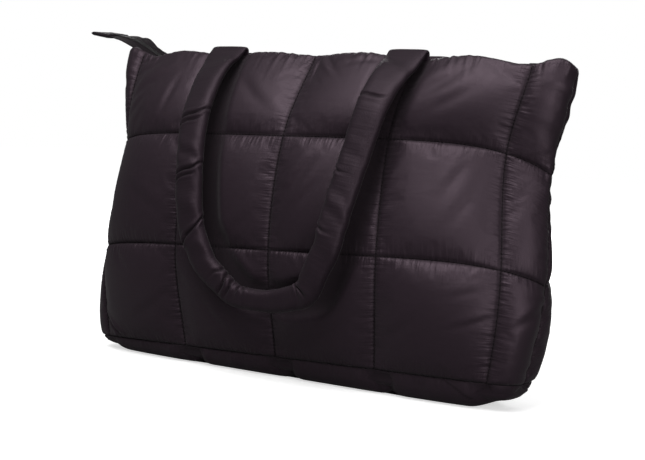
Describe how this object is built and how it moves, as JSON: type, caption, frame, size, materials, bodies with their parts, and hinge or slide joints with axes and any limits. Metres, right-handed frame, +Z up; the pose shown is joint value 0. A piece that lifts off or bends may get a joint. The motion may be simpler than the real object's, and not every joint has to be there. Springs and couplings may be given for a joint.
{
  "type": "puffer tote bag",
  "caption": "Quilted puffer tote bag that stands on a padded base, with a zipped mouth, a free zip tail and padded tube handles hanging down its front and back.",
  "frame": {"origin": "on the floor, under the middle of the base", "axes": "+X to the right along the bag's length as its front is seen, -Y out of the front, +Z up"},
  "size_m": [0.5787, 0.191, 0.3381],
  "materials": {
    "quilted_nylon": "satin",
    "handle_nylon": "satin",
    "zip_tape": "matt",
    "zip_coil": "satin",
    "tab_cloth": "satin",
    "slider_metal": "satin"
  },
  "bodies": {
    "root": {"front_panel": "quilted_nylon", "back_panel": "quilted_nylon", "base_rim": "quilted_nylon", "base_pad": "quilted_nylon", "front_handle": "handle_nylon", "back_handle": "handle_nylon", "zip_tape_front": "zip_tape", "zip_tape_back": "zip_tape", "zip_coil": "zip_coil", "zip_tab": "tab_cloth", "zip_slider": "slider_metal"}
  },
  "joints": []
}
